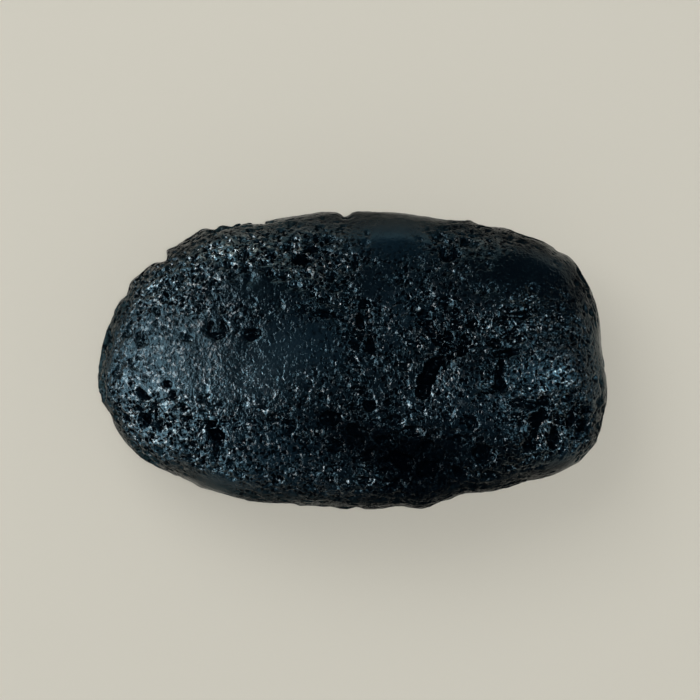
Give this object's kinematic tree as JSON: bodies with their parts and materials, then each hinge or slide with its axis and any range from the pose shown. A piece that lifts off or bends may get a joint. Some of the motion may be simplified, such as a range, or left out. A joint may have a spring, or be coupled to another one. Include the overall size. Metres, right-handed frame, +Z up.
{
  "type": "tektite",
  "caption": "Oblong piece of black natural glass with a satin, finely pitted skin, deeper pits and grooves, and a small flat patch to rest on.",
  "frame": {"origin": "under the middle of the stone, on the surface it rests on", "axes": "+X along the longest side, +Z up, out of the pitted upper side"},
  "size_m": [0.0596, 0.035, 0.023],
  "materials": {
    "tektite_glass": "satin black natural glass, pitted all over"
  },
  "bodies": {
    "root": {"tektite": "tektite_glass"}
  },
  "joints": []
}
